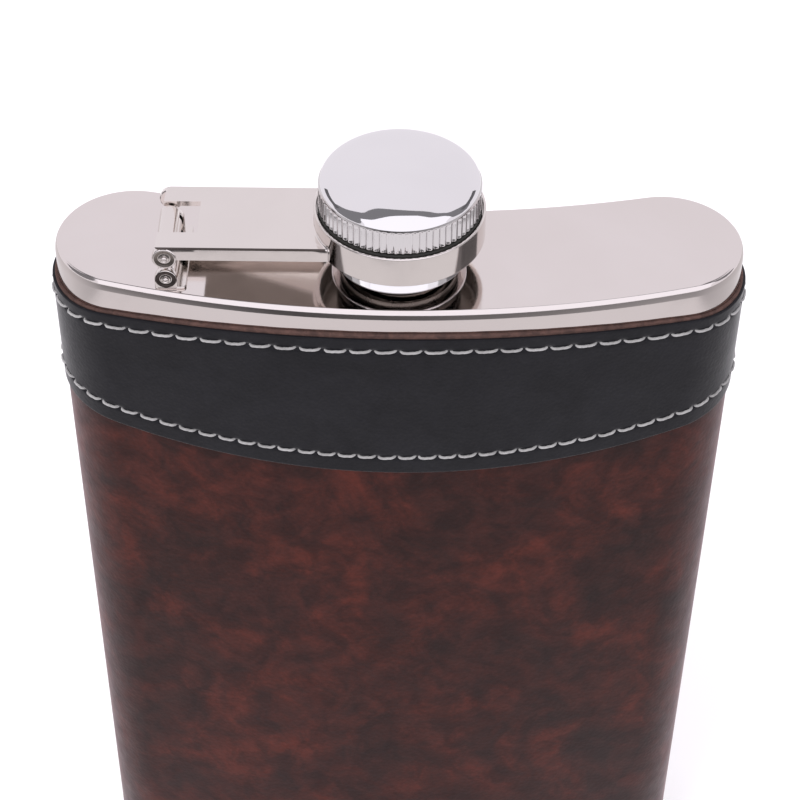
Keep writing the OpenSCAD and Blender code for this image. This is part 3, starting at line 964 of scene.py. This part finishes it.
def in_painted_shade(x, y, z):
    """Whether a point lies inside the collar, or on the dished face of a lug: the faces painted dark
    steel as shade.
    """
    in_collar = 8 < math.hypot(x, y) < COLLAR_R - 0.6 and z < FLOOR_Z0 + 0.1
    return in_collar or in_dish(x, y, z, HIGH_PIN_Z, LUG_R - 0.3)


arm = piece("hinged_cap_arm", join([arm_channel(), collar(), lugs()]), HINGE_STEEL, "arm",
            ["cap_arm"])
# The front bend gets painted shade, a near-black line along the arm's near edge.
paint_faces(arm, NEAR_BLACK_SHADE_STEEL, on_bend)
# The arm's underside gets painted shade on the hinge's side of a slanting line.
paint_faces(arm, UNDERSIDE, under_arm)
# Inside the collar and on the lugs' dishes: painted shade, in dark steel.
paint_faces(arm, DARK_SHADE_STEEL, in_painted_shade)
soften = arm.modifiers.new("Softened edges", "BEVEL")
soften.width = 0.1 * MM
soften.segments = 2
soften.limit_method = "ANGLE"
soften.angle_limit = math.radians(55)
even = arm.modifiers.new("Flat faces stay flat", "WEIGHTED_NORMAL")
even.keep_sharp = True
piece("rubber_swivel_washer", washer(), WASHER, "arm", ["swivel_washer"])


# ---- Cap ---------------------------------------------------------------------------------


def cap_head():
    """The cap's head: a low dome, a rounded shoulder and a finely ridged side."""
    a = turns(KNURL_N * 12)
    crown = HEAD_R - SHOULDER_W
    z_side = HEAD_Z + KNURL_H
    z_crown = z_side + SHOULDER_H
    # The dome leaves the shoulder's ellipse where both lean by the same angle
    lean = 2 * math.atan(DOME_H / crown)
    start = math.atan(SHOULDER_W / SHOULDER_H * math.tan(lean))
    meet_r = crown + SHOULDER_W * math.sin(start)
    meet_z = z_side + SHOULDER_H * math.cos(start)
    dome_r = meet_r / math.sin(lean)
    # Each row is (radius, height, depth of the knurl)
    rows = [(dome_r * math.sin(t), meet_z + dome_r * (math.cos(t) - math.cos(lean)), 0)
            for t in np.linspace(0, lean, 12)]
    rows += [(crown + SHOULDER_W * math.sin(t), z_side + SHOULDER_H * math.cos(t), 0)
             for t in np.linspace(start, PI / 2, 21)[1:]]
    rows += [(HEAD_R, z_side - d, k)
             for d, k in ((0.06, 0.12), (0.12, 0.4), (0.2, 0.75), (0.3, 1.0), (0.6, 1.0),
                          (KNURL_H - 0.5, 1.0), (KNURL_H - 0.22, 1.0), (KNURL_H - 0.12, 0.8))]
    rows += [(HEAD_R - 0.05, HEAD_Z + 0.04, 0.6), (HEAD_R - 0.14, HEAD_Z, 0.3),
             (HEAD_R - SHEET, HEAD_Z, 0), (HEAD_R - SHEET, z_side - 0.2, 0),
             (crown - 0.4, z_crown - 0.6, 0), (0, z_crown - 0.2, 0)]
    r, z, k = np.array(rows).T
    groove = 1 - (0.5 - 0.5 * np.cos(KNURL_N * a)) ** 0.8
    return grid(ring_stack(r[:, None] - KNURL_DEPTH * k[:, None] * groove, z, a))


def cap_skirt():
    """The threaded tube inside the cap, closed by a disc at its top."""
    a = turns(144)
    z_disc, z_top, disc_r, tooth_h = TOP + 8.75, TOP + 10.3, 9.86, 0.2
    section = [(0.0, z_top), (disc_r - 0.16, z_top), (disc_r, z_top - 0.14), (disc_r, HEAD_Z + 0.1),
               (disc_r - 0.1, HEAD_Z), (SKIRT_R, HEAD_Z), (SKIRT_R, SKIRT_Z0 + 0.12),
               (SKIRT_R - 0.1, SKIRT_Z0), (SKIRT_MOUTH_R + 0.1, SKIRT_Z0),
               (SKIRT_MOUTH_R, SKIRT_Z0 + 0.1), (SKIRT_MOUTH_R, SKIRT_Z0 + 2.0)]
    z = np.arange(2.15, 8.6, 0.09)
    tooth = thread_tooth((z[:, None] - 3.6) / THREAD_PITCH - a[None] / (2 * PI), 1.4)
    bore = ring_stack(SKIRT_BORE_R - tooth_h * tooth * run_out(z, 3.4, 7.0)[:, None], TOP + z, a)
    top = ring_stack([SKIRT_BORE_R, 0.0], [z_disc, z_disc], a)
    return grid(np.concatenate([ring_stack(*zip(*section), a), bore, top]))


def ring():
    """The sleeve pressed on the skirt, with a flared foot."""
    corners = [(SKIRT_R + 0.02, RING_Z0, 0.1), (RING_FOOT_R, RING_Z0, 0.2),
               (RING_R, RING_Z0 + RING_FOOT_H, 0.6), (RING_R, RING_Z1, 0.2),
               (SKIRT_R + 0.02, RING_Z1, 0.1)]
    return lathe(rounded(corners, 5), 128)


def gasket():
    z0, z1, r = TOP + 7.55, TOP + 8.7, 7.3
    edge = rounded([(0, z0, 0), (r, z0, 0.3), (r, z1, 0.2), (0, z1, 0)], 5)
    return lathe(edge, 96, closed=False)


piece("knurled_cap_head", cap_head(), CHROME, "cap", ["cap_head"], weld=True)
# The whole skirt is painted dark steel, as shade inside the cap.
piece("threaded_cap_skirt", cap_skirt(), DARK_SHADE_STEEL, "cap", ["cap_skirt"], weld=True)
piece("cap_retaining_ring", ring(), CHROME, "cap", ["retaining_ring"], flats=True)
piece("cap_sealing_disc", gasket(), GASKET, "cap", ["cap_gasket"], weld=True)


# ---- Floor, lights and camera ------------------------------------------------------------


def stage_mesh(name, points, faces, material):
    """A part of the stage, which rides on no body."""
    mesh = bpy.data.meshes.new(name)
    mesh.from_pydata(points, [], faces)
    mesh.materials.append(material)
    obj = bpy.data.objects.new(name, mesh)
    bpy.context.scene.collection.objects.link(obj)
    return obj


def gloss_panel(name, rows, material):
    """A panel that shows in polished surfaces, and neither lights nor shades the rest."""
    rows = np.asarray(rows)
    faces = grid_faces(*rows.shape[:2], loop_cols=False)
    obj = stage_mesh(name, rows.reshape(-1, 3).tolist(), faces, material)
    obj.visible_camera = obj.visible_diffuse = obj.visible_shadow = False
    obj.visible_transmission = obj.visible_volume_scatter = False


def glow(name, colour, strength):
    """A material that glows evenly, and is left out of the light sampling."""
    material = bpy.data.materials.new(name)
    material.use_nodes = True
    tree = material.node_tree
    tree.nodes.clear()
    emit = tree.nodes.new("ShaderNodeEmission")
    emit.inputs["Color"].default_value = (*colour, 1)
    emit.inputs["Strength"].default_value = strength
    out = tree.nodes.new("ShaderNodeOutputMaterial")
    tree.links.new(emit.outputs[0], out.inputs["Surface"])
    material.cycles.emission_sampling = "NONE"
    return material


def card(name, across, low_edge, high_edge, grey, radius, over=True, tint=(0.95, 0.93, 1.0)):
    """Part of a sphere round the cap, across a range of angles and between two edges, in degrees.

    With over set, across is the angle towards +X and the edges turn over the cap from -Y.
    Without it, across is the azimuth, 0 at -Y and 90 at +X, and the edges are elevations.
    """
    centre = (0, 0, TOP * MM + 0.01)
    side = np.radians(across)
    rows = []
    for k in np.linspace(0, 1, 9):
        up = np.radians(low_edge * (1 - k) + high_edge * k)
        if over:
            way = [np.sin(side), -np.cos(side) * np.cos(up), np.cos(side) * np.sin(up)]
        else:
            way = [np.sin(side) * np.cos(up), -np.cos(side) * np.cos(up), np.sin(up)]
        rows.append(np.stack(way, -1))
    gloss_panel(name, centre + radius * np.array(rows), glow(name, tint, grey))


def soft_edge(across, stops, k):
    """An edge through (angle, low, high) stops, with its corners rounded off."""
    straight = np.interp(across, [stop[0] for stop in stops], [stop[k] for stop in stops])
    ends = np.pad(straight, 4, mode="edge")
    return np.convolve(ends, np.ones(9) / 9, mode="valid")


def floor_ring(name, inner, outer, z, stops):
    """A ring on the floor whose grey changes with the azimuth, by (degrees, grey) stops."""
    az = np.radians(np.linspace(stops[0][0], stops[-1][0], 60))
    rows = [np.stack([r * np.sin(az), -r * np.cos(az), np.full(60, z)], -1) for r in (inner, outer)]
    material = glow(name, (1, 1, 1), 1.0)
    tree = material.node_tree
    turn = tree.nodes.new("ShaderNodeTexGradient")
    turn.gradient_type = "RADIAL"
    place = tree.nodes.new("ShaderNodeTexCoord")
    spin = tree.nodes.new("ShaderNodeMapping")
    spin.inputs["Rotation"].default_value = (0, 0, PI / 2)
    greys = tree.nodes.new("ShaderNodeValToRGB")
    while len(greys.color_ramp.elements) < len(stops):
        greys.color_ramp.elements.new(0.5)
    for element, (at, grey) in zip(greys.color_ramp.elements, stops):
        element.position = 0.5 + at / 360
        element.color = (grey, grey * 0.955, grey * 0.99, 1)
    tree.links.new(place.outputs["Object"], spin.inputs["Vector"])
    tree.links.new(spin.outputs["Vector"], turn.inputs["Vector"])
    tree.links.new(turn.outputs["Fac"], greys.inputs["Fac"])
    tree.links.new(greys.outputs["Color"], tree.nodes["Emission"].inputs["Color"])
    gloss_panel(name, rows, material)


floor_paint = Paint("Studio floor", 0.8, Specular_IOR_Level=0.1)
floor_paint.colour(floor_paint.ramp(floor_paint.noise(6, 3), (0.3, (0.93, 0.925, 0.925)),
                                    (0.7, (0.95, 0.945, 0.945))))
corners = [(-4, -2.5, 0), (4, -2.5, 0), (4, 2.5, 0), (-4, 2.5, 0)]
floor = stage_mesh("studio_floor", corners, [(0, 1, 2, 3)], floor_paint.material)
floor.location = (0, 1.2, 0)
floor.rotation_euler = (0, 0, PI)

# The grey card's edges, as (side angle, low edge, high edge)
GREY_CARD = [(-86, -10, 100), (-70, -10, 122), (-50, 0, 94), (-43, 60, 91), (-24, 69, 93), (-3, 99, 124),
             (8, 99, 112), (24, 81, 95), (42, 76, 87), (57, 62, 104), (68, 38, 136), (86, 30, 140)]
sides = np.linspace(-86, 86, 173)
card("grey_card", sides, soft_edge(sides, GREY_CARD, 1), soft_edge(sides, GREY_CARD, 2), 0.25, 0.87)
front = np.linspace(-44, 60, 40)
card("white_card", front, -8 + 0 * front, 100 - 20 * np.abs(front / 60), 1.32, 0.9)
for name, ends in (("dark_right_card", (84, 118)), ("dark_left_card", (-118, -84))):
    turn = np.linspace(*ends, 20)
    card(name, turn, 17 + 0 * turn, 28 + 0 * turn, 0.15, 0.065, over=False)
floor_ring("pale_near_floor", 0.056, 0.19, 0.0006, [(-150, 0.84), (150, 0.84)])
floor_ring("dark_far_floor", 0.19, 1.0, 0.0005,
           [(-150, 0.85), (-100, 0.74), (-55, 0.45), (-32, 0.2), (-16, 0.09), (0, 0.13), (16, 0.2),
            (40, 0.36), (80, 0.55), (150, 0.85)])

world = bpy.data.worlds.new("Soft studio")
world.use_nodes = True
world.node_tree.nodes["Background"].inputs["Color"].default_value = (1.0, 0.965, 1.03, 1)
world.node_tree.nodes["Background"].inputs["Strength"].default_value = 0.97
bpy.context.scene.world = world


def softbox(name, at, size, watts):
    light = bpy.data.lights.new(name, "AREA")
    light.shape = "SQUARE"
    light.size = size
    light.energy = watts
    obj = bpy.data.objects.new(name, light)
    obj.location = at
    obj.rotation_euler = (Vector((0, 0, 0.08)) - Vector(at)).to_track_quat("-Z", "Y").to_euler()
    obj.visible_glossy = False
    bpy.context.scene.collection.objects.link(obj)


softbox("softbox_left", (-0.7, -0.7, 1.0), 0.7, 6)
softbox("softbox_back", (0.3, 0.9, 1.2), 1.0, 8)

ELEVATION, AZIMUTH, ROLL = math.radians(43.39), math.radians(-0.11), math.radians(0.72)
camera = bpy.data.cameras.new("Camera")
camera.lens, camera.sensor_width = 97.6, 36
camera.clip_start, camera.clip_end = 0.01, 20
eye = bpy.data.objects.new("Camera", camera)
eye.matrix_world = (Matrix.Translation((-0.0001, -0.22538, TOP * MM + 0.18706))
                    @ Matrix.Rotation(AZIMUTH, 4, "Z")
                    @ Matrix.Rotation(PI / 2 - ELEVATION, 4, "X")
                    @ Matrix.Rotation(ROLL, 4, "Z"))
bpy.context.scene.collection.objects.link(eye)
bpy.context.scene.camera = eye
bpy.context.scene.view_settings.view_transform = "Standard"
